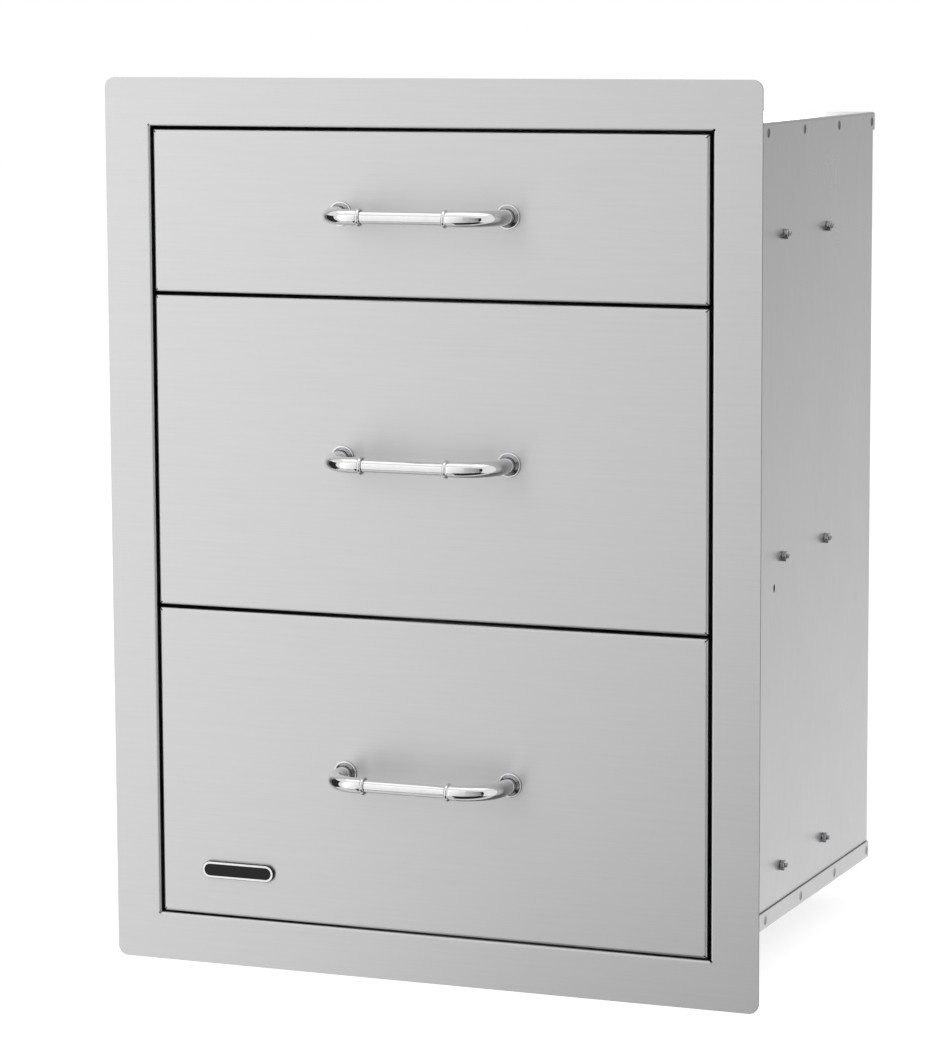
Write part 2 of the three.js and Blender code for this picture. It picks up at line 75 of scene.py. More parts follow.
# %% Camera
CAMERA_PLACE = Vector((1108.4, -2644.4, 690.6)) * MM
CAMERA_YAW = 22.03
CAMERA_TILT = 7.58
CAMERA_ROLL = -0.25
LENS_MM = 137.14

camera_data = bpy.data.cameras.new("camera")
camera_data.lens = LENS_MM
camera_data.sensor_width = 36
camera = bpy.data.objects.new("camera", camera_data)
turn = Matrix.Rotation(radians(CAMERA_YAW), 4, "Z")
turn = turn @ Matrix.Rotation(radians(90 - CAMERA_TILT), 4, "X")
turn = turn @ Matrix.Rotation(radians(CAMERA_ROLL), 4, "Z")
camera.matrix_world = Matrix.Translation(CAMERA_PLACE) @ turn
bpy.context.scene.collection.objects.link(camera)
bpy.context.scene.camera = camera
bpy.context.scene.view_settings.view_transform = "Standard"

# %% [markdown]
# ## Nodes and colours
# Every finish is a small node tree. One function adds a node: its sockets take a number, a colour or
# another node's output, and its settings are its menus. Colours are written as a painter's hex values, as
# they look on a screen, and one function turns them to the linear values that light works with.

# %% Nodes and colours
def linear(hex_value):
    """An sRGB hex colour, such as C8C8C8, as linear red, green, blue and alpha."""
    channels = [int(hex_value[i:i + 2], 16) / 255 for i in (0, 2, 4)]
    flat = [c / 12.92 if c <= 0.04045 else ((c + 0.055) / 1.055) ** 2.4 for c in channels]
    return (*flat, 1.0)


def add_node(tree, kind, sockets=None, **settings):
    """Adds a node, sets its menus, and sets or links its input sockets."""
    node = tree.nodes.new(kind)
    for name, value in settings.items():
        setattr(node, name, value)
    for name, value in (sockets or {}).items():
        if isinstance(value, bpy.types.NodeSocket):
            tree.links.new(value, node.inputs[name])
        else:
            node.inputs[name].default_value = value
    return node


def new_material(name):
    """An empty material and the tree that its nodes go into."""
    material = bpy.data.materials.new(name)
    material.use_nodes = True
    tree = material.node_tree
    tree.nodes.clear()
    return material, tree


print("C8C8C8 is linear", round(linear("C8C8C8")[0], 3))

# %% [markdown]
# ## Room and floor
# The unit stands on a pale floor under a white sky. The camera and mirrors see the sky at full white, but it
# lights the unit with about half of that, and the floor glows a little, so the background is white and the
# floor still keeps a faint shadow. A board is a grid of one face, and a matrix turns it towards a point.

# %% Room and floor
FLOOR_HALF = 9.0
FLOOR_DROP = 0.2 * MM
WORLD_SOFT = 0.55
WORLD_WHITE = 1.0
FLOOR_OWN_LIGHT = 0.66
UP = Vector((0, 0, 1))


def seen_directly(tree):
    """1 for rays that should meet a white room: the camera's, reflections and light through glass."""
    path = add_node(tree, "ShaderNodeLightPath")
    mirrored = add_node(tree, "ShaderNodeMath", {
        0: path.outputs["Is Camera Ray"], 1: path.outputs["Is Glossy Ray"]}, operation="MAXIMUM")
    return add_node(tree, "ShaderNodeMath", {
        0: mirrored.outputs[0], 1: path.outputs["Is Transmission Ray"]}, operation="MAXIMUM").outputs[0]


def new_object(name, bm):
    """Turns a bmesh into an object at the origin."""
    mesh = bpy.data.meshes.new(name)
    bm.to_mesh(mesh)
    bm.free()
    item = bpy.data.objects.new(name, mesh)
    bpy.context.scene.collection.objects.link(item)
    return item


def aimed(place, aim, axis):
    """The matrix that puts an object at a place with one of its axes towards the point aim."""
    toward = Vector(aim) - Vector(place)
    return Matrix.Translation(place) @ toward.to_track_quat(axis, "Y").to_matrix().to_4x4()


def stage_board(name, half_width, half_height, place, aim, material):
    """A flat board at a place, facing the point aim."""
    bm = bmesh.new()
    bmesh.ops.create_grid(bm, x_segments=1, y_segments=1, size=1)
    bmesh.ops.scale(bm, vec=(half_width, half_height, 1), verts=bm.verts)
    board = new_object(name, bm)
    board.matrix_world = aimed(place, aim, "Z")
    board.data.materials.append(material)
    return board


world = bpy.data.worlds.new("white room")
world.use_nodes = True
tree = world.node_tree
tree.nodes.clear()
strength = add_node(tree, "ShaderNodeMapRange", {
    "Value": seen_directly(tree), "To Min": WORLD_SOFT, "To Max": WORLD_WHITE})
background = add_node(tree, "ShaderNodeBackground", {
    "Color": linear("FFFFFF"), "Strength": strength.outputs["Result"]})
add_node(tree, "ShaderNodeOutputWorld", {"Surface": background.outputs[0]})
bpy.context.scene.world = world

floor_paint, tree = new_material("pale floor paint")
matt = add_node(tree, "ShaderNodeBsdfDiffuse", {"Color": linear("E6E6E6")})
glow_level = add_node(tree, "ShaderNodeMath", {
    0: seen_directly(tree), 1: FLOOR_OWN_LIGHT}, operation="MULTIPLY")
glow = add_node(tree, "ShaderNodeEmission", {
    "Color": linear("FFFFFF"), "Strength": glow_level.outputs[0]})
both = add_node(tree, "ShaderNodeAddShader", {0: matt.outputs[0], 1: glow.outputs[0]})
add_node(tree, "ShaderNodeOutputMaterial", {"Surface": both.outputs[0]})
middle = (CAD_LOW + CAD_HIGH) / 2
floor_place = Vector((middle.x, middle.y, CAD_LOW.z - FLOOR_DROP))
floor = stage_board("floor", FLOOR_HALF, FLOOR_HALF, floor_place, floor_place + UP, floor_paint)
floor.visible_glossy = False
print("floor height in mm:", round(floor_place.z / MM, 1))

# %% [markdown]
# ## Softboxes and cards
# Two softboxes give the unit a faint shadow. Steel is a mirror with a satin skin, so its tone is the room's
# tone. Cards that only reflections see stand round it, as they do in a studio: a large one at the left
# front fades to the lower right, one behind fades upwards for the side panel, and small dark ones draw the
# black marks on the chrome.

# %% Softboxes and cards
# Each softbox: its place, the point it faces, its width and height in metres, and its watts.
SOFTBOXES = {
    "key": ((-1.1, -1.5, 1.5), (-0.1, 0, 0.45), 0.8, 1.2, 14),
    "fill": ((1.6, -1.8, 1.6), (0, 0.1, 0.3), 1.2, 1.2, 8),
}
# Each card: half its width and height, its place, the point it faces, its strength at its middle, and where
# it fades, how much it gains per metre across and up.
CARDS = {
    "front": (1.3, 1.3, (-0.5, -1.2, 0.12), (-0.5, 0, 0.12), 1.14, 0.44, 0.15),
    "side": (1.0, 1.3, (0.65, 1.6, 0.08), (0.65, 0, 0.08), 1.0, -0.5, -0.54),
    "ceiling": (1.5, 0.55, (0, -0.25, 2.0), (0, -0.2, 0.3), 1.5),
    "floor": (2.0, 0.9, (0, -0.35, -1.2), (0, -0.35, 0), 0.78),
    "camera": (0.55, 0.8, (0.8, -1.1, 0.3), (0.8, 0, 0.3), 0.5, 0.35),
    "edge": (0.25, 0.75, (1.6, -1.08, 0.3), (1.6, 0, 0.3), 0.02),
    "low": (1.05, 0.345, (0.6, -0.95, -0.845), (0.6, 0, -0.845), 0.03),
    "near floor": (1.05, 0.45, (0.6, -0.8, -1.19), (0.6, -0.8, 0), 0.03),
    "line": (0.25, 0.08, (-0.5, -0.6, -0.62), (-0.5, 0, -0.62), 0.03),
    "back": (0.5, 0.28, (-0.68, 1.5, 0.78), (-0.68, 0, 0.78), 5.0),
    "left": (0.35, 0.675, (-1.2, -0.12, 0.075), (0, -0.12, 0.075), 0.03),
}


def softbox(name, place, aim, width, height, watts):
    """A soft rectangular lamp that reflections don't see."""
    data = bpy.data.lights.new(name, "AREA")
    data.shape = "RECTANGLE"
    data.size = width
    data.size_y = height
    data.energy = watts
    lamp = bpy.data.objects.new(name, data)
    lamp.matrix_world = aimed(place, aim, "-Z")
    lamp.visible_glossy = False
    bpy.context.scene.collection.objects.link(lamp)


def mirror_card(name, half_width, half_height, place, aim, level, across=0, up=0):
    """A glowing card that only reflections see."""
    material, tree = new_material(name)
    strength = level
    if across or up:
        place_on_card = add_node(tree, "ShaderNodeTexCoord").outputs["Object"]
        gain = add_node(tree, "ShaderNodeVectorMath", {
            0: place_on_card, 1: (across, up, 0)}, operation="DOT_PRODUCT").outputs["Value"]
        total = add_node(tree, "ShaderNodeMath", {0: gain, 1: level}, operation="ADD").outputs[0]
        strength = add_node(tree, "ShaderNodeMath", {0: total, 1: 0.0}, operation="MAXIMUM").outputs[0]
    glow = add_node(tree, "ShaderNodeEmission", {"Color": linear("FFFFFF"), "Strength": strength})
    add_node(tree, "ShaderNodeOutputMaterial", {"Surface": glow.outputs[0]})
    card = stage_board(name, half_width, half_height, place, aim, material)
    card.visible_camera = False
    card.visible_diffuse = False
    card.visible_transmission = False
    card.visible_shadow = False


for name, values in SOFTBOXES.items():
    softbox(f"{name} softbox", *values)
for name, values in CARDS.items():
    mirror_card(f"{name} card", *values)
print("softboxes and cards:", len(SOFTBOXES), "and", len(CARDS))

# %% [markdown]
# ## From a bmesh to a finished piece
# Each piece is drawn in a bmesh, and its place is in its mesh, so its object stays at the origin as the
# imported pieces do. A sheet is drawn as one skin and gets its wall from a Solidify modifier, whose rim can
# take a second material for the cut edge; a small Bevel takes the knife edge off, as a deburring wheel
# does. The modifiers are applied here, so that the shading can be set from the real angles: smooth round a
# bend, sharp at an edge.

# %% From a bmesh to a finished piece
SMOOTH_ANGLE = radians(40)
# Points nearer to each other than this are merged.
MERGE_DISTANCE = 0.01 * MM


def moved(x, y, z):
    """The matrix that moves a piece by x, y and z."""
    return Matrix.Translation((x, y, z))


def apply_modifiers(item):
    """Bakes an object's modifiers into its mesh."""
    shape = item.evaluated_get(bpy.context.evaluated_depsgraph_get())
    mesh = bpy.data.meshes.new_from_object(shape)
    item.modifiers.clear()
    item.data = mesh
    mesh.name = item.name


def make_piece(name, bm, place, material, body, stands_for=(), wall=0, offset=-1, rim=None,
               cutter=None, soften=0):
    """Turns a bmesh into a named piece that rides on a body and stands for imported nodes.

    Wall is a sheet's thickness and rim the finish of its cut edge. Cutter is taken away from the piece, and
    soften is the width of the bevel on its sharp edges.
    """
    bmesh.ops.transform(bm, matrix=place, verts=bm.verts)
    item = new_object(name, bm)
    item.data.materials.append(material)
    if wall:
        skin = item.modifiers.new("wall", "SOLIDIFY")
        skin.thickness = wall
        skin.offset = offset
        skin.use_even_offset = True
        if rim:
            item.data.materials.append(rim)
            skin.material_offset_rim = 1
    if cutter:
        cut = item.modifiers.new("cut", "BOOLEAN")
        cut.object = cutter
        cut.solver = "EXACT"
    if soften:
        edge = item.modifiers.new("deburred edge", "BEVEL")
        edge.width = soften
        edge.segments = 2
        edge.limit_method = "ANGLE"
        edge.angle_limit = SMOOTH_ANGLE
    if item.modifiers:
        apply_modifiers(item)
    if cutter:
        bpy.data.objects.remove(cutter)
    item.data.shade_smooth()
    item.data.set_sharp_from_angle(angle=SMOOTH_ANGLE)
    weigh = item.modifiers.new("flat faces stay flat", "WEIGHTED_NORMAL")
    weigh.keep_sharp = True
    apply_modifiers(item)
    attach(item, body)
    if stands_for:
        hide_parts(*stands_for)


print("bends are smooth up to", round(SMOOTH_ANGLE * 180 / pi), "degrees")

# %% [markdown]
# ## Folding a sheet
# A press brake bends a flat blank along straight lines, so every sheet piece here is the same few moves: a
# flat plate, and past each bend line an arc and a wall. The spin operator makes both, with an angle for a
# bend and with a plain shift for a flat stretch. Where two walls meet at a corner they are trimmed along
# the diagonal with a thin slot between them, because a real corner needs that relief to fold.

# %% Folding a sheet
BEND_STEPS = 6
# Points nearer to a cutting plane than this count as on it.
CUT_DISTANCE = 0.001 * MM
# The four sides in their order round a sheet, and the way that each one faces.
SIDE_WAYS = {"right": Vector((1, 0, 0)), "top": Vector((0, 1, 0)),
             "left": Vector((-1, 0, 0)), "bottom": Vector((0, -1, 0))}
SIDES = list(SIDE_WAYS)
ALL_CORNERS = [(x, y) for x in ("right", "left") for y in ("top", "bottom")]


def carry(bm, geometry, point, heading, along, moves):
    """Carries a line or a ring on. A move is a length and no angle, or a bend's radius and its angle."""
    for size, angle in moves:
        turn_by = Matrix.Rotation(radians(angle), 3, along)
        across = along.cross(heading)
        centre = point + across * (size if angle > 0 else -size)
        shift = (0, 0, 0) if angle else heading * size
        spun = bmesh.ops.spin(
            bm, geom=geometry, cent=centre, axis=along, dvec=shift, angle=radians(angle),
            steps=BEND_STEPS if angle else 1, use_merge=False, use_normal_flip=False, use_duplicate=False)
        geometry = spun["geom_last"]
        point = centre + turn_by @ (point - centre) if angle else point + heading * size
        heading = turn_by @ heading
    return geometry, point, heading


def fold_strip(bm, middle, half_length, outward, heading, moves, slots):
    """A strip folded on from one bend line. Slots holds each end's slot width, or None for a square end."""
    kept = set(bm.verts)
    across = UP.cross(outward)
    # An end with a slot starts too long, and is trimmed along the corner's diagonal.
    spare = 2 * max(size for size, angle in moves if angle)
    ends = []
    for sign, slot in zip((-1, 1), slots):
        ends.append(middle + across * sign * (half_length + (0 if slot is None else spare)))
    corners = [bm.verts.new(end) for end in ends]
    line = [*corners, bm.edges.new(corners)]
    carry(bm, line, middle, heading, UP.cross(heading), moves)
    for sign, slot in zip((-1, 1), slots):
        if slot is None:
            continue
        corner = middle + across * sign * (half_length - slot / sqrt(2))
        fresh = [v for v in bm.verts if v not in kept]
        edges = {e for v in fresh for e in v.link_edges}
        faces = {f for v in fresh for f in v.link_faces}
        bmesh.ops.bisect_plane(
            bm, geom=[*fresh, *edges, *faces], dist=CUT_DISTANCE, plane_co=corner,
            plane_no=across * sign - outward, clear_outer=True, clear_inner=False, use_snap_center=False)


def bevel(bm, geometry, width, segments, affect="EDGES"):
    """Cuts edges or corners off by a width, in one segment, or rounds them in several."""
    bmesh.ops.bevel(bm, geom=geometry, offset=width, offset_type="OFFSET", segments=segments, profile=0.5,
                    affect=affect, material=-1, clamp_overlap=True)


def grid_plate(bm, low, high, corner_names, cut, segments):
    """A flat plate between two corners, with the named corners cut off or rounded."""
    made = bmesh.ops.create_grid(bm, x_segments=1, y_segments=1, size=1)["verts"]
    half = (high - low) / 2
    middle = (high + low) / 2
    bmesh.ops.scale(bm, vec=(half.x, half.y, 1), verts=made)
    bmesh.ops.translate(bm, vec=middle, verts=made)
    wanted = []
    for vert in made:
        names = ("right" if vert.co.x > middle.x else "left", "top" if vert.co.y > middle.y else "bottom")
        if names in corner_names:
            wanted.append(vert)
    if wanted:
        bevel(bm, wanted, cut, segments, "VERTICES")


def fold_walls(bm, line_low, line_high, walls, slot, way=1):
    """Folds walls on at a plate's bend lines, outwards, or inwards to a window's middle where way is -1."""
    middle, half = (line_low + line_high) / 2, (line_high - line_low) / 2
    for side, moves in walls.items():
        outward = SIDE_WAYS[side]
        at = SIDES.index(side)
        slots = [slot if SIDES[(at + step) % len(SIDES)] in walls else None for step in (-1, 1)]
        half_length = abs(half.dot(UP.cross(outward)))
        line_middle = middle + outward * abs(half.dot(outward))
        fold_strip(bm, line_middle, half_length, outward, outward * way, moves, slots)
    bmesh.ops.remove_doubles(bm, verts=bm.verts, dist=MERGE_DISTANCE)
    bmesh.ops.recalc_face_normals(bm, faces=bm.faces)
    plate = max(bm.faces, key=lambda face: face.calc_area() * abs(face.normal.z))
    if plate.normal.z < 0:
        bmesh.ops.reverse_faces(bm, faces=bm.faces)


def folded_pan(low, high, radius, walls, slot):
    """A plate facing up, from corner low to corner high outside its walls, which are folded down."""
    bm = bmesh.new()
    inset = {side: radius if side in walls else 0 for side in SIDES}
    line_low = Vector((low[0] + inset["left"], low[1] + inset["bottom"], 0))
    line_high = Vector((high[0] - inset["right"], high[1] - inset["top"], 0))
    folded_corners = [pair for pair in ALL_CORNERS if pair[0] in walls and pair[1] in walls]
    grid_plate(bm, line_low, line_high, folded_corners, slot / sqrt(2), 1)
    bent = {side: [(radius, 90), *moves] for side, moves in walls.items()}
    fold_walls(bm, line_low, line_high, bent, slot)
    return bm


print("a bend of", BEND_STEPS, "facets turns", 90 / BEND_STEPS, "degrees at each")

# %% [markdown]
# ## Steel finishes
# The frame and the fronts are 304 stainless with a No. 4 finish: belts of fine grit leave short parallel
# scratches along the sheet. They draw each highlight out across them, which anisotropy does here, and show
# as faint lines of slightly different tone. The carcass is the same steel as it left the mill, duller and
# with coarser lines. Round each spot weld its colour is darkened: mostly painted shade of the weld's dent,
# partly a weld's heat tint. Both start from stainless steel's own grey, with a noise whose cells are long
# along the grain.

# %% Steel finishes
WELD_PITCH = 87.3 * MM
# The painted weld shade: its radius, the share of the radius at full darkness, and its colour. It stands
# mostly for the shade in each weld's dent, partly for a heat tint.
WELD_SHADE_RADIUS = 4.2 * MM
WELD_SHADE_CORE = 0.75
WELD_SHADE_COLOUR = "6A6967"
SHEET_CLOUD = (90 * MM, 60 * MM)
CLOUD_DETAIL = 2.0
LINE_DETAIL = 3.0
BUMP_STRENGTH = 0.5
# A quarter turn lays the highlight across the scratches.
SHEEN_TURN = 0.25
# Most of a noise's values lie between these two.
NOISE_LOW = 0.3
NOISE_HIGH = 0.7


def grain_noise(tree, length, spacing, along, detail):
    """A noise drawn out along one axis: length and spacing are the size of its marks, in metres."""
    place = add_node(tree, "ShaderNodeTexCoord")
    sizes = [1 / spacing] * 3
    sizes["XYZ".index(along)] = 1 / length
    stretched = add_node(tree, "ShaderNodeMapping", {"Vector": place.outputs["Object"], "Scale": sizes})
    noise = add_node(tree, "ShaderNodeTexNoise", {
        "Vector": stretched.outputs["Vector"], "Scale": 1.0, "Detail": detail, "Roughness": 0.6})
    return noise.outputs["Fac"]


def weld_shade_and_heat_tint(tree, height, start, darkening):
    """How dark a place is painted, from 0 to its last argument, beside a row of spot welds along Y at a
    height: painted shade of each weld's dent, with a little heat tint.
    """
    place = add_node(tree, "ShaderNodeTexCoord").outputs["Object"]
    from_first = add_node(tree, "ShaderNodeVectorMath", {
        0: place, 1: (0, start, height)}, operation="SUBTRACT").outputs[0]
    # Wrapping Y by the pitch measures from the nearest weld, and wrapping X between 0 and 0 drops it.
    reach = Vector((0, WELD_PITCH / 2, 1))
    from_nearest = add_node(tree, "ShaderNodeVectorMath", {
        0: from_first, 1: reach, 2: -reach}, operation="WRAP").outputs[0]
    away = add_node(tree, "ShaderNodeVectorMath", {0: from_nearest}, operation="LENGTH").outputs["Value"]
    return add_node(tree, "ShaderNodeMapRange", {
        "Value": away, "From Min": WELD_SHADE_RADIUS, "From Max": WELD_SHADE_CORE * WELD_SHADE_RADIUS, "To Min": 0.0,
        "To Max": darkening}, interpolation_type="SMOOTHSTEP").outputs["Result"]


def metal(name, dark, light, rough, cloud, along="X", grain=None, groove=0.0, stretch=0.0, welds=None):
    """A metal whose tone and gloss vary in clouds, and whose tone and surface follow its grain.

    Rough is a lowest and a highest roughness. Cloud and grain are each the length and the spacing of their
    marks, groove is the depth of the grain's, and stretch draws the sheen out across them.
    """
    material, tree = new_material(name)
    clouds = grain_noise(tree, *cloud, along, CLOUD_DETAIL)
    pattern = clouds
    low, high = rough
    gloss = add_node(tree, "ShaderNodeMapRange", {
        "Value": clouds, "From Min": NOISE_LOW, "From Max": NOISE_HIGH, "To Min": low, "To Max": high})
    sockets = {"Metallic": 1.0, "Roughness": gloss.outputs["Result"]}
    if grain:
        lines = grain_noise(tree, *grain, along, LINE_DETAIL)
        pattern = add_node(tree, "ShaderNodeMix", {"Factor": 0.5, "A": lines, "B": clouds}).outputs[0]
        sockets["Normal"] = add_node(tree, "ShaderNodeBump", {
            "Height": lines, "Strength": BUMP_STRENGTH, "Distance": groove}).outputs["Normal"]
    share = add_node(tree, "ShaderNodeMapRange", {
        "Value": pattern, "From Min": NOISE_LOW, "From Max": NOISE_HIGH}).outputs["Result"]
    colour = add_node(tree, "ShaderNodeMix", {
        "Factor": share, 6: linear(dark), 7: linear(light)}, data_type="RGBA")
    if welds:
        # Painted shade round each spot weld, partly a heat tint.
        colour = add_node(tree, "ShaderNodeMix", {
            "Factor": weld_shade_and_heat_tint(tree, *welds), 6: colour.outputs[2], 7: linear(WELD_SHADE_COLOUR)},
            data_type="RGBA")
    shader = add_node(tree, "ShaderNodeBsdfPrincipled", {
        "Base Color": colour.outputs[2], "Anisotropic": stretch, "Anisotropic Rotation": SHEEN_TURN,
        **sockets})
    add_node(tree, "ShaderNodeOutputMaterial", {"Surface": shader.outputs[0]})
    return material


# A real No. 4 scratch is about 0.1 mm wide; 0.9 mm is the finest that shows at this distance.
brushed = metal("brushed 304 stainless", "C1C1C1", "C8C8C8", (0.33, 0.39), SHEET_CLOUD, "X",
                (60 * MM, 0.9 * MM), 0.008 * MM, stretch=0.7)


def mill_steel(name, welds=None):
    """The carcass's steel. Welds are the height, the start and the darkness of a row of spot welds' painted
    shade, which stands mostly for the shade in their dents and partly for heat tint.
    """
    return metal(name, "AEAEAE", "B5B5B5", (0.27, 0.33), SHEET_CLOUD, "Z", (25 * MM, 3 * MM), 0.005 * MM,
                 welds=welds)


mill = mill_steel("mill finish 304 stainless")
# A sheared edge is torn and dull, and its dark tone is also painted shade, the shadow along the sheet's edge,
# so it reads as a dark line round a bright sheet.
shaded_cut_edge = metal("sheared 304 stainless, painted shade", "5A5A5A", "6A6A6A", (0.47, 0.53), SHEET_CLOUD, "X",
                 (4 * MM, 1 * MM), 0.02 * MM)
print("steel finishes:", brushed.name, mill.name, shaded_cut_edge.name)

# %% [markdown]
# ## Chrome and zinc
# The handles are polished chrome plate, nearly a mirror, so almost all their drawing comes from the room;
# the dishes at their feet are satin, and their darker tone is painted shade, for the dark post and hollow
# that they mirror. The slides are rolled steel with a bright zinc plate, slightly blue and cloudy. The nuts
# and bolts carry a duller plate that mottles them.

# %% Chrome and zinc
PLATE_CLOUD = (8 * MM, 8 * MM)
ZINC_CLOUD = (6 * MM, 6 * MM)
BOLT_CLOUD = (1.2 * MM, 1.2 * MM)
chrome = metal("polished chrome plate", "DADADB", "E0E0E1", (0.05, 0.08), PLATE_CLOUD)
# Rougher than the polished plate, and darker as painted shade.
shaded_satin = metal("satin chrome plate", "8C8C8E", "98989A", (0.18, 0.26), PLATE_CLOUD)
zinc = metal("bright zinc plate", "A9ADB2", "BFC3C7", (0.28, 0.4), ZINC_CLOUD)
bolt_zinc = metal("dull zinc plate", "7E7F82", "C2C3C6", (0.2, 0.34), BOLT_CLOUD)
print("plated finishes:", chrome.name, shaded_satin.name, zinc.name, bolt_zinc.name)

# %% [markdown]
# ## Face frame
# The frame is one sheet: a flange all round with rounded outer corners, and a window whose four edges are
# folded back as returns. Short diagonal slits at the window's corners let the returns fold. The plate is
# filled between a rounded outer outline and the window's bend lines; the returns are folded strips.

# %% Face frame
FRAME_SHEET = 1.2 * MM
FRAME_CORNER = 7.5 * MM
FRAME_BEND = 2 * MM
FRAME_SLOT = 1.7 * MM
SIDE_GAP = 2.4 * MM
UPPER_GAP = 2.2 * MM
LOWER_GAP = 1.2 * MM
CORNER_SEGMENTS = 10
DEBURR = 0.15 * MM

frame_low, frame_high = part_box("face_frame")
top_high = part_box("top_front_skin")[1]
bottom_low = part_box("bottom_front_skin")[0]
window_low = Vector((bottom_low.x - SIDE_GAP, bottom_low.z - LOWER_GAP, 0))
window_high = Vector((top_high.x + SIDE_GAP, top_high.z + UPPER_GAP, 0))
# Pieces that face the front are drawn lying face up, and this turn stands them up.
STAND_UP = Matrix.Rotation(radians(90), 4, "X")
FACE_BACK = STAND_UP.inverted()


def face_frame():
    """The frame's skin, drawn face up: x across and y up the frame."""
    bm = bmesh.new()
    spread = Vector((FRAME_BEND, FRAME_BEND, 0))
    line_low, line_high = window_low - spread, window_high + spread
    outer_low = Vector((frame_low.x, frame_low.z, 0))
    outer_high = Vector((frame_high.x, frame_high.z, 0))
    grid_plate(bm, outer_low, outer_high, ALL_CORNERS, FRAME_CORNER, CORNER_SEGMENTS)
    grid_plate(bm, line_low, line_high, ALL_CORNERS, FRAME_SLOT / sqrt(2), 1)
    bmesh.ops.delete(bm, geom=bm.faces, context="FACES_ONLY")
    bmesh.ops.triangle_fill(bm, edges=bm.edges, use_beauty=True, use_dissolve=False, normal=UP)
    moves = [(FRAME_BEND, 90), (frame_high.y - frame_low.y - FRAME_BEND, 0)]
    fold_walls(bm, line_low, line_high, dict.fromkeys(SIDES, moves), FRAME_SLOT, -1)
    return bm


# The frame's cut edge is dark with painted shade.
make_piece("frame_sheet", face_frame(), moved(0, frame_low.y, 0) @ STAND_UP, brushed, "carcass",
           ["face_frame"], FRAME_SHEET, rim=shaded_cut_edge, soften=DEBURR)
print("window in mm:", [round(side / MM, 1) for side in window_high - window_low])

# %% [markdown]
# ## Drawer fronts
# Each front is a pan of brushed sheet, folded back 16 mm on all four sides, and a second pan of mill sheet
# that closes it from behind. The fold leaves a soft edge of about 2 mm and a small notch at each corner,
# which is what makes the fronts look like folded sheet and not like plate.

# %% Drawer fronts
FRONT_SHEET = 1 * MM
FRONT_BEND = 2.1 * MM
FRONT_SLOT = 0.8 * MM
DRAWERS = ("top", "middle", "bottom")

for name in DRAWERS:
    body = f"{name}_drawer"
    low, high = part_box(f"{name}_front_skin")
    walls = dict.fromkeys(SIDES, [(high.y - low.y - FRONT_BEND, 0)])
    skin = folded_pan((low.x, low.z), (high.x, high.z), FRONT_BEND, walls, FRONT_SLOT)
    # The fronts' cut edges are dark with painted shade too.
    make_piece(f"{name}_front_sheet", skin, moved(0, low.y, 0) @ STAND_UP, brushed, body,
               [f"{name}_front_skin"], FRONT_SHEET, rim=shaded_cut_edge, soften=DEBURR)
    low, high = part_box(f"{name}_front_liner")
    walls = dict.fromkeys(SIDES, [(high.y - low.y - FRONT_BEND, 0)])
    liner = folded_pan((low.x, -high.z), (high.x, -low.z), FRONT_BEND, walls, FRONT_SLOT)
    make_piece(f"{name}_liner_sheet", liner, moved(0, high.y, 0) @ FACE_BACK, mill, body,
               [f"{name}_front_liner"], FRONT_SHEET)
print("fronts and liners:", 2 * len(DRAWERS))

# %% [markdown]
# ## Carcass
# The top and the bottom are pans with three walls: the sides and the back are folded over the side panels,
# and spot welds hold the laps. Each weld leaves a shallow round dent, cut here with a flattened ball, and the
# darkening painted round it, mostly the dent's shade and partly heat tint, belongs to that sheet's own
# material. The side panels are flat sheets with holes for the slide bolts and one tab hole, and the back is a
# sheet with two flanges.

# %% Carcass
PANEL_SHEET = 1 * MM
CAP_BEND = 2 * MM
CAP_SLOT = 0.8 * MM
WELD_RADIUS = 3.5 * MM
WELD_DEPTH = 0.6 * MM
WELD_INSET = 7.5 * MM
DENT_SIDES = 24
WELD_STARTS = {"top": 25.3 * MM, "bottom": 27 * MM}
# How dark the painted weld shade is on each cap.
WELD_SHADE_LEVELS = {"top": 1.0, "bottom": 0.55}
BOLT_HOLE = 2.3 * MM
TAB_HOLE = 3.2 * MM
TAB_HOLE_SHARE = 0.6
TAB_HOLE_SHIFT = Vector((0, -20.5, -21.3)) * MM
HOLE_SIDES = 24
DRILL_LENGTH = 6 * MM
STAY = Matrix.Identity(4)
TURN_OVER = Matrix.Rotation(pi, 4, "Y")
LIE_ACROSS = Matrix.Rotation(pi / 2, 4, "Y")


def add_prism(bm, sides, radius, depth, place):
    """Adds a prism or cylinder round the Z axis of a place, halfway above and below it."""
    return bmesh.ops.create_cone(bm, cap_ends=True, segments=sides, radius1=radius, radius2=radius,
                                 depth=depth, matrix=place)["verts"]


def weld_dents(half_width, height, start, rear):
    """Flattened balls that touch the cap's side walls in a row, for the weld marks."""
    bm = bmesh.new()
    y = start
    while y < rear - WELD_RADIUS:
        for x in (-half_width, half_width):
            ball = bmesh.ops.create_uvsphere(bm, u_segments=DENT_SIDES, v_segments=DENT_SIDES // 2,
                                             radius=1)["verts"]
            bmesh.ops.scale(bm, vec=(WELD_DEPTH, WELD_RADIUS, WELD_RADIUS), verts=ball)
            bmesh.ops.translate(bm, vec=(x, y, height), verts=ball)
        y += WELD_PITCH
    return new_object("weld dents", bm)


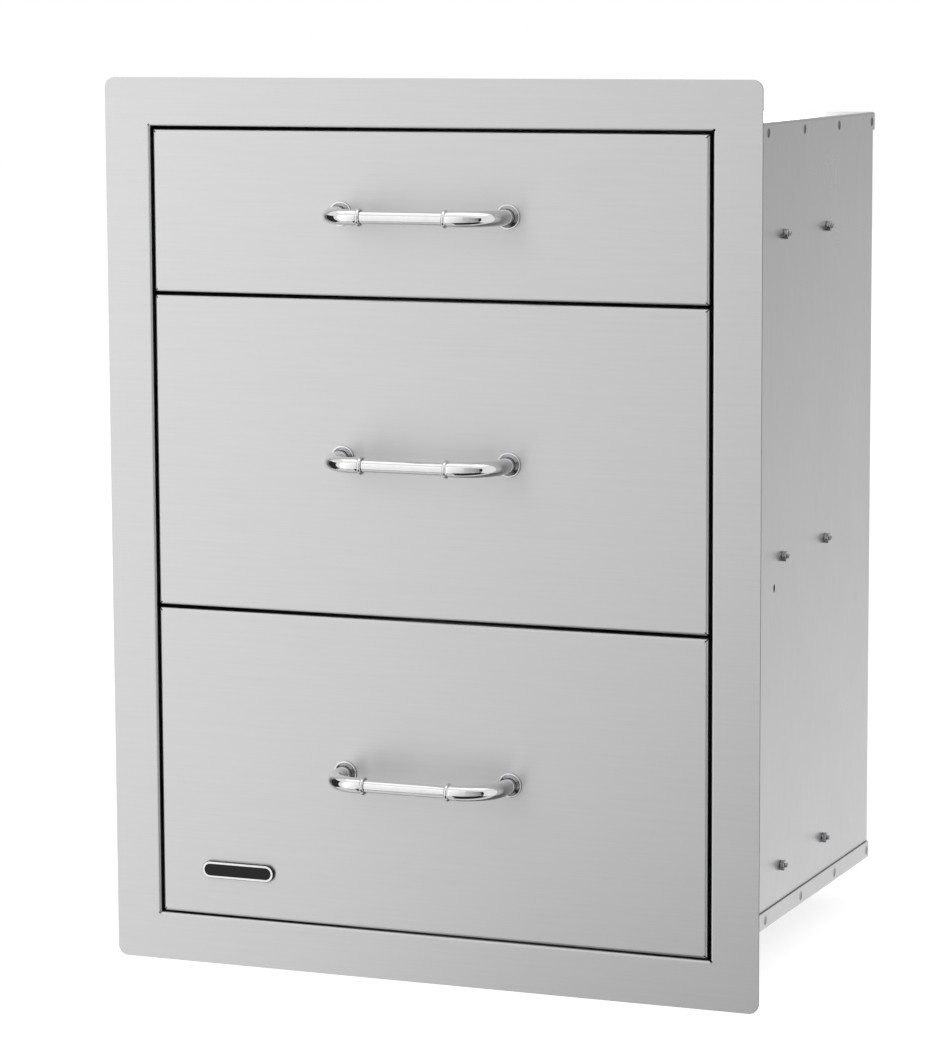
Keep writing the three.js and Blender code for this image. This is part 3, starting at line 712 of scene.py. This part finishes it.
def cap_sheet(name, up_turn):
    """The top or bottom panel, drawn face up with its open side to the front."""
    low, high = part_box(f"{name}_panel")
    wall = [(high.z - low.z - CAP_BEND, 0)]
    walls = {"right": wall, "left": wall, "top": wall}
    bm = folded_pan((low.x, low.y), (high.x, high.y), CAP_BEND, walls, CAP_SLOT)
    face_z, inward = (high.z, -1) if name == "top" else (low.z, 1)
    row = face_z + inward * WELD_INSET
    dents = weld_dents(high.x, row, WELD_STARTS[name], high.y)
    welds = (row, WELD_STARTS[name], WELD_SHADE_LEVELS[name])
    welded = mill_steel(f"spot-welded {name} sheet, mill finish 304 stainless", welds)
    make_piece(f"{name}_sheet", bm, moved(0, 0, face_z) @ up_turn, welded, "carcass",
               [f"{name}_panel"], PANEL_SHEET, cutter=dents, soften=DEBURR)


def box_middle(node):
    """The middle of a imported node's box."""
    low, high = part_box(node)
    return (low + high) / 2


def side_sheet(side):
    """A side panel: a flat plate with round holes for the slide bolts and an oval one for a tab."""
    low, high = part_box(f"{side}_side_panel")
    bm = bmesh.new()
    bmesh.ops.create_cube(bm, size=1)
    bmesh.ops.scale(bm, vec=high - low, verts=bm.verts)
    bmesh.ops.translate(bm, vec=(high + low) / 2, verts=bm.verts)
    places = [box_middle(f"{name}_slide_bolt_{row}_{side}") for name in DRAWERS for row in ("front", "rear")]
    holes = [(place, BOLT_HOLE, 1) for place in places]
    holes.append((places[2] + TAB_HOLE_SHIFT, TAB_HOLE, TAB_HOLE_SHARE))
    drill = bmesh.new()
    for place, radius, narrowing in holes:
        across = moved(low.x, place.y, place.z) @ Matrix.Diagonal((1, narrowing, 1, 1)) @ LIE_ACROSS
        add_prism(drill, HOLE_SIDES, radius, DRILL_LENGTH, across)
    make_piece(f"{side}_sheet", bm, STAY, mill, "carcass", [f"{side}_side_panel"],
               cutter=new_object("holes", drill))


cap_sheet("top", STAY)
cap_sheet("bottom", TURN_OVER)
side_sheet("right")
side_sheet("left")
low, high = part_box("back_panel")
flange = [(high.y - low.y - CAP_BEND, 0)]
back = folded_pan((low.x, -high.z), (high.x, -low.z), CAP_BEND, {"right": flange, "left": flange}, CAP_SLOT)
make_piece("back_sheet", back, moved(0, high.y, 0) @ FACE_BACK, mill, "carcass",
           ["back_panel"], PANEL_SHEET)
print("weld pitch in mm:", round(WELD_PITCH / MM, 1))

# %% [markdown]
# ## Trays
# Each drawer's tray is a folded box with an open top. The upper edge of every wall is rolled over into an
# open hem, which is the same folding again: two more bends and a short lip that points back down.

# %% Trays
TRAY_SHEET = 1 * MM
TRAY_BEND = 3 * MM
TRAY_SLOT = 0.8 * MM
HEM_BEND = 1.5 * MM
HEM_WIDTH = 3.2 * MM
HEM_DEPTH = 8 * MM

for name in DRAWERS:
    low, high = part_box(f"{name}_tray")
    rise = high.z - low.z - TRAY_BEND - HEM_BEND
    hemmed = [(rise, 0), (HEM_BEND, 90), (HEM_WIDTH - 2 * HEM_BEND, 0), (HEM_BEND, 90),
              (HEM_DEPTH - HEM_BEND, 0)]
    walls = dict.fromkeys(SIDES, hemmed)
    tray = folded_pan((low.x, low.y), (high.x, high.y), TRAY_BEND, walls, TRAY_SLOT)
    make_piece(f"{name}_tray_sheet", tray, moved(0, 0, low.z) @ TURN_OVER, mill, f"{name}_drawer",
               [f"{name}_tray"], TRAY_SHEET)
print("trays:", len(DRAWERS), "with hems", round(HEM_WIDTH / MM, 1), "mm wide")

# %% [markdown]
# ## Slide members
# A telescopic slide is three strips of steel, rolled into channels that nest. Each channel's edges are
# hooked, so that the balls between them can't fall out. A channel is one line carried round its section
# and given a wall; the left-hand slide is the right-hand one turned over, half round a line to the front.

# %% Slide members
SLIDE_SHEET = 1.2 * MM
HALF_SHEET = SLIDE_SHEET / 2
SLIDE_BEND = 2.4 * MM
SLIDE_GAP = 0.4 * MM
# Half the height of the drawer member between its lips.
INNER_HALF = 12 * MM
AHEAD = Vector((0, 1, 0))


def section_moves(corners, radius):
    """The moves that follow a line of square corners, each rounded by the same radius."""
    moves = []
    last = len(corners) - 1
    for i in range(last):
        heading = (corners[i + 1] - corners[i]).normalized()
        trims = (i > 0) + (i + 1 < last)
        moves.append(((corners[i + 1] - corners[i]).length - trims * radius, 0))
        if i + 1 < last:
            following = (corners[i + 2] - corners[i + 1]).normalized()
            side = AHEAD.cross(heading).dot(following)
            moves.append((radius, 90 if side > 0 else -90))
    return moves


def rolled_member(node, web_x, hook_x, half, hook_end):
    """A member's middle skin: an upright web, an arm at each end of it, and hooks at the arms' ends."""
    low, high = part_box(node)
    middle = (low.z + high.z) / 2
    arm = half - HALF_SHEET
    upper = [Vector((hook_x, low.y, hook_end)), Vector((hook_x, low.y, arm)), Vector((web_x, low.y, arm))]
    lower = [Vector((corner.x, corner.y, -corner.z)) for corner in reversed(upper)]
    corners = [corner + UP * middle for corner in (*upper, *lower)]
    bm = bmesh.new()
    start = [bm.verts.new(corners[0]), bm.verts.new(corners[0] + AHEAD * (high.y - low.y))]
    line = [*start, bm.edges.new(start)]
    heading = (corners[1] - corners[0]).normalized()
    carry(bm, line, corners[0], heading, AHEAD, section_moves(corners, SLIDE_BEND - HALF_SHEET))
    bmesh.ops.recalc_face_normals(bm, faces=bm.faces)
    return bm


def on_side(side, height):
    """Leaves a right-hand piece where it is, or turns it over to the left-hand side at the same height."""
    return moved(0, 0, 2 * height) @ TURN_OVER if side == "left" else STAY


def skin_span(node):
    """Where a member's middle skin begins and ends across, and half the member's height."""
    low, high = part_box(node)
    return low.x + HALF_SHEET, high.x - HALF_SHEET, (high.z - low.z) / 2


cabinet_in, cabinet_out, cabinet_half = skin_span("top_cabinet_member_right")
runner_in, runner_out, runner_half = skin_span("top_runner_right")
inner_in, inner_out, lip_end = skin_span("top_drawer_member_right")
# Each member: its body, where its web and its hooks stand, half its height, and its hooks' ends.
MEMBERS = {
    "cabinet_member": ("carcass", cabinet_out, cabinet_in, cabinet_half, runner_half + SLIDE_GAP),
    "runner": ("{}_runners", runner_out, runner_in, runner_half, INNER_HALF + SLIDE_GAP),
    "drawer_member": ("{}_drawer", inner_in, inner_out, INNER_HALF, lip_end),
}
for name in DRAWERS:
    for kind, (body, *section) in MEMBERS.items():
        for side in ("right", "left"):
            node = f"{name}_{kind}_{side}"
            bm = rolled_member(f"{name}_{kind}_right", *section)
            make_piece(f"{node}_strip", bm, on_side(side, box_middle(node).z), zinc, body.format(name),
                       [node], SLIDE_SHEET, offset=0)
print("slide members:", 2 * len(DRAWERS) * len(MEMBERS))

# %% [markdown]
# ## Turned pieces
# A lathe turns a bar against a tool that follows a profile, and the spin operator does the same with a
# chain of edges. The profile is a list of radii and distances along the axis. Where it starts and ends on
# the axis the ring of doubled points there is welded, so the piece closes.

# %% Turned pieces
ROUND_STEPS = 48
SMALL_STEPS = 24
EDGE_STEPS = 4


def turned(profile, steps, closed=False):
    """A lathe piece round the Z axis, from radius and height pairs that run up the outside."""
    bm = bmesh.new()
    verts = [bm.verts.new((radius, 0, height)) for radius, height in profile]
    edges = [bm.edges.new(pair) for pair in zip(verts, verts[1:])]
    if closed:
        edges.append(bm.edges.new((verts[-1], verts[0])))
    bmesh.ops.spin(bm, geom=[*verts, *edges], cent=(0, 0, 0), axis=UP, dvec=(0, 0, 0), angle=2 * pi,
                   steps=steps, use_merge=True, use_normal_flip=False, use_duplicate=False)
    bmesh.ops.remove_doubles(bm, verts=bm.verts, dist=MERGE_DISTANCE)
    bmesh.ops.recalc_face_normals(bm, faces=bm.faces)
    return bm


def rounded_end(radius, height, edge, way):
    """The points of a rounded edge between a flat end and a straight side, for a turned profile."""
    points = []
    for i in range(EDGE_STEPS + 1):
        angle = pi / 2 * i / EDGE_STEPS
        points.append((radius - edge * (1 - sin(angle)), height + way * edge * (1 - cos(angle))))
    return points


print("turned pieces have", ROUND_STEPS, "or", SMALL_STEPS, "sides")

# %% [markdown]
# ## Handles
# Each handle is a round bar held between two cast posts. A post is a tube that leaves the front, bends
# through a right angle and ends in a socket with a beaded lip, into which the bar slides. Here a ring is
# carried along that path, stepped out for the bead and back in for the socket. A rosette, a dish inside a
# bright rim, hides the hole at the foot, and a stud goes on from the foot to a nut inside the front.

# %% Handles
POST_RADIUS = 5.75 * MM
POST_BEND = 26 * MM
SOCKET_RADIUS = 5 * MM
SOCKET_DEPTH = 8.5 * MM
BEAD_LENGTH = 4.4 * MM
FOOT_EDGE = 0.4 * MM
STUD_RADIUS = 2.5 * MM
STUD_TIP = 1.2 * MM
NUT_RADIUS = 4 * MM
NUT_HEIGHT = 3 * MM
HEXAGON = 6
SEAT_GAP = 0.3 * MM
BAR_EDGE = 0.5 * MM
# A rosette's dish and rim meet at this share of the radius and of the height.
DISH_SHARE = 0.875
DISH_RISE = 0.41
# The bead's radii in mm, each with its share of the bead's length: a neck, a round lip, a softened end.
BEAD_SHARES = [(5.45, 0.22), (5.45, 0.1), (6.1, 0.1), (6.45, 0.08), (6.65, 0.13), (6.65, 0.12),
               (6.45, 0.12), (6.1, 0.08), (5.6, 0.05)]


def grow_ring(bm, ring, centre, heading, radius, stages):
    """Extrudes a ring of edges stage by stage. A stage is the ring's next radius and its way along."""
    for next_radius, length in stages:
        edges = [part for part in ring if isinstance(part, bmesh.types.BMEdge)]
        grown = bmesh.ops.extrude_edge_only(bm, edges=edges)["geom"]
        ring = [part for part in grown if not isinstance(part, bmesh.types.BMFace)]
        verts = [part for part in ring if isinstance(part, bmesh.types.BMVert)]
        share = next_radius / radius
        bmesh.ops.scale(bm, vec=(share, share, share), verts=verts, space=Matrix.Translation(-centre))
        bmesh.ops.translate(bm, vec=heading * length, verts=verts)
        centre = centre + heading * length
        radius = next_radius
    return ring, centre


def handle_post(stand_off, arm_end):
    """A right-hand post: the front's face is at y = 0, its foot there, and its arm runs to the left."""
    bm = bmesh.new()
    out = Vector((0, -1, 0))
    stud_end = FRONT_SHEET + SEAT_GAP + NUT_HEIGHT + STUD_TIP
    centre = Vector((0, stud_end, 0))
    bmesh.ops.create_circle(bm, cap_ends=True, segments=ROUND_STEPS, radius=STUD_RADIUS,
                            matrix=moved(*centre) @ STAND_UP)
    stages = [(STUD_RADIUS, stud_end + SEAT_GAP), (POST_RADIUS - FOOT_EDGE, 0), (POST_RADIUS, FOOT_EDGE)]
    ring, centre = grow_ring(bm, [*bm.verts, *bm.edges], centre, out, STUD_RADIUS, stages)
    straight = stand_off - POST_BEND - SEAT_GAP - FOOT_EDGE
    arm = arm_end - POST_BEND - BEAD_LENGTH
    # The right angle is made of three bends, for three times as many facets.
    thirds = [(POST_BEND, -30)] * 3
    ring, centre, heading = carry(bm, ring, centre, out, UP, [(straight, 0), *thirds, (arm, 0)])
    stages = [(radius * MM, share * BEAD_LENGTH) for radius, share in BEAD_SHARES]
    stages += [(SOCKET_RADIUS, 0), (SOCKET_RADIUS, -SOCKET_DEPTH)]
    ring, centre = grow_ring(bm, ring, centre, heading, POST_RADIUS, stages)
    bmesh.ops.contextual_create(bm, geom=ring)
    nut_middle = FRONT_SHEET + SEAT_GAP + NUT_HEIGHT / 2
    add_prism(bm, HEXAGON, NUT_RADIUS, NUT_HEIGHT, moved(0, nut_middle, 0) @ STAND_UP)
    bmesh.ops.recalc_face_normals(bm, faces=bm.faces)
    return bm


def rosette_rim(radius, height):
    """A rosette's thin rounded rim."""
    shares = [(1, 0), (1, 0.3), (0.985, 0.42), (0.95, 0.48), (0.91, 0.46), (DISH_SHARE, DISH_RISE),
              (DISH_SHARE, 0)]
    return turned([(radius * across, height * up) for across, up in shares], ROUND_STEPS, closed=True)


def rosette_dish(radius, bore, height):
    """The cone inside the rim, which rises to the post."""
    edge = radius * DISH_SHARE
    profile = [(bore, 0), (edge, 0), (edge, height * DISH_RISE), (bore, height)]
    return turned(profile, ROUND_STEPS, closed=True)


def handle_bar(radius, length):
    """A straight bar whose ends are slightly rounded."""
    half = length / 2
    lower = rounded_end(radius, -half, BAR_EDGE, 1)
    upper = rounded_end(radius, half, BAR_EDGE, -1)
    return turned([(0, -half), *lower, *reversed(upper), (0, half)], ROUND_STEPS)


for name in DRAWERS:
    body = f"{name}_drawer"
    face_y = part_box(f"{name}_front_skin")[0].y
    bar_low, bar_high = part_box(f"{name}_handle_bar")
    bar_middle = (bar_low + bar_high) / 2
    bar = handle_bar((bar_high.z - bar_low.z) / 2, bar_high.x - bar_low.x)
    make_piece(f"{name}_bar", bar, moved(*bar_middle) @ LIE_ACROSS, chrome, body,
               [f"{name}_handle_bar"])
    low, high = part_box(f"{name}_handle_post_right")
    axis_x = high.x - POST_RADIUS
    rosette_low, rosette_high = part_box(f"{name}_rosette_right")
    radius = (rosette_high.z - rosette_low.z) / 2
    height = rosette_high.y - rosette_low.y
    for side, sign in (("right", 1), ("left", -1)):
        foot = moved(sign * axis_x, face_y, bar_middle.z) @ on_side(side, 0)
        post = handle_post(face_y - bar_middle.y, axis_x - low.x)
        make_piece(f"{name}_post_{side}", post, foot, chrome, body, [f"{name}_handle_post_{side}"])
        seat = moved(sign * axis_x, rosette_high.y, bar_middle.z) @ STAND_UP
        make_piece(f"{name}_rosette_rim_{side}", rosette_rim(radius, height), seat, chrome, body,
                   [f"{name}_rosette_{side}"])
        dish = rosette_dish(radius, POST_RADIUS + SEAT_GAP, height)
        # The dish's darker plate is painted shade.
        make_piece(f"{name}_rosette_dish_{side}", dish, seat, shaded_satin, body)
print("rosettes in mm:", round(2 * radius / MM, 1))

# %% [markdown]
# ## Slide bolts
# Each slide is held by two bolts: a pan head inside the slide, and outside the side panel a toothed washer,
# a hexagon nut and the bolt's end. The thread is a row of grooves, which is how a thread this small looks
# from a step away.

# %% Slide bolts
# The pan head's radii and heights in mm, from the middle of its top to its underside.
HEAD_PROFILE = [(0, 0), (2.2, 0), (3.3, 0.35), (3.8, 1.0), (4, 1.6), (4, 2.2), (2, 2.2)]
BOLT_RADIUS = 2 * MM
BOLT_TIP = 1.5 * MM
THREAD_ROOT = 1.65 * MM
THREAD_PITCH = 0.7 * MM
BOLT_END = 2 * MM
BOLT_NUT_HEIGHT = 3.2 * MM
WASHER_RADIUS = 4 * MM
WASHER_HEIGHT = 0.6 * MM
WASHER_TEETH = 10
TOOTH_SHARE = 0.86
NUT_FLATS = 7 * MM
NUT_CHAMFER = 0.45 * MM


def slide_bolt(length):
    """A bolt with its washer and nut along +Z: its head's top is at z = 0 and its end at the length."""
    seat = length - BOLT_NUT_HEIGHT - BOLT_END
    profile = [(radius * MM, height * MM) for radius, height in HEAD_PROFILE]
    height = seat
    while height < length - THREAD_PITCH:
        profile += [(BOLT_RADIUS, height), (THREAD_ROOT, height + THREAD_PITCH / 2)]
        height += THREAD_PITCH
    profile += [(BOLT_RADIUS, height), (BOLT_TIP, length), (0, length)]
    bm = turned(profile, SMALL_STEPS)
    washer_middle = moved(0, 0, seat + WASHER_HEIGHT / 2)
    ring = add_prism(bm, 2 * WASHER_TEETH, WASHER_RADIUS, WASHER_HEIGHT, washer_middle)
    teeth = [vert for vert in ring if round(atan2(vert.co.y, vert.co.x) * WASHER_TEETH / pi) % 2]
    bmesh.ops.scale(bm, vec=(TOOTH_SHARE, TOOTH_SHARE, 1), verts=teeth)
    nut_height = BOLT_NUT_HEIGHT - WASHER_HEIGHT
    nut_middle = moved(0, 0, seat + WASHER_HEIGHT + nut_height / 2)
    nut = add_prism(bm, HEXAGON, NUT_FLATS / 2 / cos(pi / HEXAGON), nut_height, nut_middle)
    outer = [vert for vert in nut if vert.co.z > seat + BOLT_NUT_HEIGHT - NUT_CHAMFER]
    rim = [edge for edge in bm.edges if edge.verts[0] in outer and edge.verts[1] in outer]
    bevel(bm, rim, NUT_CHAMFER, 3)
    bmesh.ops.recalc_face_normals(bm, faces=bm.faces)
    return bm


for name in DRAWERS:
    for row in ("front", "rear"):
        for side, sign in (("right", 1), ("left", -1)):
            node = f"{name}_slide_bolt_{row}_{side}"
            low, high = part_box(node)
            head = moved(low.x if sign > 0 else high.x, (low.y + high.y) / 2, (low.z + high.z) / 2)
            outward = head @ Matrix.Rotation(sign * pi / 2, 4, "Y")
            make_piece(f"{name}_bolt_{row}_{side}", slide_bolt(high.x - low.x), outward, bolt_zinc,
                       "carcass", [node])
print("slide bolts:", 4 * len(DRAWERS))

# %% [markdown]
# ## Ball retainers
# Between the members run steel balls, held at their spacing by thin retainers. They are hidden while a
# drawer is shut and show in its slides when it is open, so each slide gets its outer and its inner rows.
# They are loose on the real slide; here they ride with the runner, and stay between its members.

# %% Ball retainers
BALLS = 8
BALL_PITCH = 10.5 * MM
RETAINER_SHEET = 0.5 * MM
# A retainer is this many ball radii wide.
RETAINER_WIDTH = 1.4
# For each row: ball radius, distance in from the slide's outer side, height of its centre, and front end.
ROWS = {
    "outer": (1.95 * MM, 6.6 * MM, 19.25 * MM, 200 * MM),
    "inner": (1.3 * MM, 8.6 * MM, 13.9 * MM, 30 * MM),
}


def ball_rows(radius, inset, rise, front, outer_x, middle_z):
    """The two rows of balls of one kind, over and under the slide's middle, with their retainers."""
    bm = bmesh.new()
    length = BALLS * BALL_PITCH
    for sign in (-1, 1):
        place = Vector((outer_x - inset, front + length / 2, middle_z + sign * rise))
        for i in range(BALLS):
            along = Vector((0, (i + 0.5) * BALL_PITCH - length / 2, 0))
            bmesh.ops.create_icosphere(bm, subdivisions=2, radius=radius, matrix=moved(*place + along))
        strip_size = Matrix.Diagonal((RETAINER_SHEET, length, RETAINER_WIDTH * radius, 1))
        bmesh.ops.create_cube(bm, size=1, matrix=moved(place.x + radius, place.y, place.z) @ strip_size)
    return bm


slide_outer_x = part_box("top_cabinet_member_right")[1].x
for name in DRAWERS:
    middle_z = box_middle(f"{name}_cabinet_member_right").z
    for kind, (radius, inset, rise, front) in ROWS.items():
        for side in ("right", "left"):
            bm = ball_rows(radius, inset, rise, front, slide_outer_x, middle_z)
            make_piece(f"{name}_{kind}_balls_{side}", bm, on_side(side, middle_z), zinc, f"{name}_runners")
print("balls:", 4 * BALLS * len(ROWS) * len(DRAWERS))

# %% [markdown]
# ## Plaque
# A small oval plaque sits low on the left of the bottom front: a black moulding with a bright plated line
# round its face. It is left bare. A flat plate with fully rounded ends is raised, and the line is an inset
# border of its face, lifted a little.

# %% Plaque
black_enamel, tree = new_material("moulded black ABS")
speckle = grain_noise(tree, 0.6 * MM, 0.6 * MM, "X", CLOUD_DETAIL)
gloss = add_node(tree, "ShaderNodeMapRange", {
    "Value": speckle, "From Min": NOISE_LOW, "From Max": NOISE_HIGH, "To Min": 0.26, "To Max": 0.36})
black_shader = add_node(tree, "ShaderNodeBsdfPrincipled", {
    "Base Color": linear("0C0C0D"), "Roughness": gloss.outputs["Result"], "IOR": 1.5,
    "Specular IOR Level": 0.25})
add_node(tree, "ShaderNodeOutputMaterial", {"Surface": black_shader.outputs[0]})

PLAQUE_SIZE = Vector((58.3, 12.8, 0)) * MM
PLAQUE_HEIGHT = 2.6 * MM
PLAQUE_MIDDLE = Vector((-152.6, 0, 42)) * MM
LINE_WIDTH = 1.5 * MM
LINE_RISE = 0.2 * MM
PLAQUE_EDGE = 0.4 * MM
OVAL_STEPS = 12


def oval_face(size):
    """A flat face with round ends."""
    bm = bmesh.new()
    grid_plate(bm, -size / 2, size / 2, ALL_CORNERS, size.y / 2, OVAL_STEPS)
    bmesh.ops.remove_doubles(bm, verts=bm.verts, dist=MERGE_DISTANCE)
    return bm


def thicken(bm, height):
    """Raises flat faces into a plate with its back at z = 0."""
    raised = bmesh.ops.extrude_face_region(bm, geom=bm.faces[:])["geom"]
    top = [part for part in raised if isinstance(part, bmesh.types.BMVert)]
    bmesh.ops.translate(bm, vec=UP * height, verts=top)
    bmesh.ops.recalc_face_normals(bm, faces=bm.faces)


moulding = oval_face(PLAQUE_SIZE)
thicken(moulding, PLAQUE_HEIGHT)
rim = [edge for edge in moulding.edges if all(vert.co.z > PLAQUE_HEIGHT / 2 for vert in edge.verts)]
bevel(moulding, rim, PLAQUE_EDGE, 3)
bmesh.ops.recalc_face_normals(moulding, faces=moulding.faces)

band = oval_face(PLAQUE_SIZE - Vector((2, 2, 0)) * PLAQUE_EDGE)
bmesh.ops.inset_region(band, faces=band.faces[:], use_boundary=True, use_even_offset=True,
                       thickness=LINE_WIDTH)
inside = max(band.faces, key=lambda face: face.calc_area())
bmesh.ops.delete(band, geom=[inside], context="FACES")
thicken(band, 2 * LINE_RISE)

front_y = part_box("bottom_front_skin")[0].y
on_front = moved(PLAQUE_MIDDLE.x, front_y, PLAQUE_MIDDLE.z) @ STAND_UP
make_piece("plaque", moulding, on_front, black_enamel, "bottom_drawer")
on_plaque = on_front @ moved(0, 0, PLAQUE_HEIGHT - LINE_RISE)
make_piece("plaque_line", band, on_plaque, chrome, "bottom_drawer")
print("plaque in mm:", [round(side / MM, 1) for side in PLAQUE_SIZE.xy])
